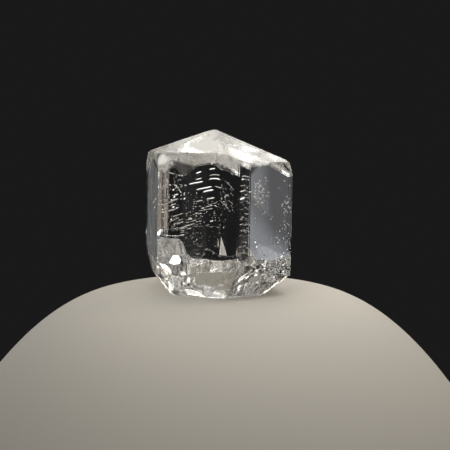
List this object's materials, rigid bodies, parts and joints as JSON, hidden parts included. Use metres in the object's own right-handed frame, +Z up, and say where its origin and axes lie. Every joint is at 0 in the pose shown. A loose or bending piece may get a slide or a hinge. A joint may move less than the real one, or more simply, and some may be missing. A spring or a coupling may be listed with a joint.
{
  "type": "phenakite crystal",
  "caption": "Clear colourless phenakite crystal: stout unequal prism, low pyramid, ledged and pitted faces, broken root with a flat foot.",
  "frame": {"origin": "on the plane of the flat foot, below the middle of the bounding box", "axes": "+Z up from the foot, 1 degree off the crystal's long axis, which leans towards +X; -Y is the side of the broad front face"},
  "size_m": [0.014, 0.0142, 0.0153],
  "materials": {
    "phenakite": "clear and colourless, glassy faces with fine ledges and pits, frosted where the root is broken"
  },
  "bodies": {
    "root": {"phenakite_crystal": "phenakite"}
  },
  "joints": []
}
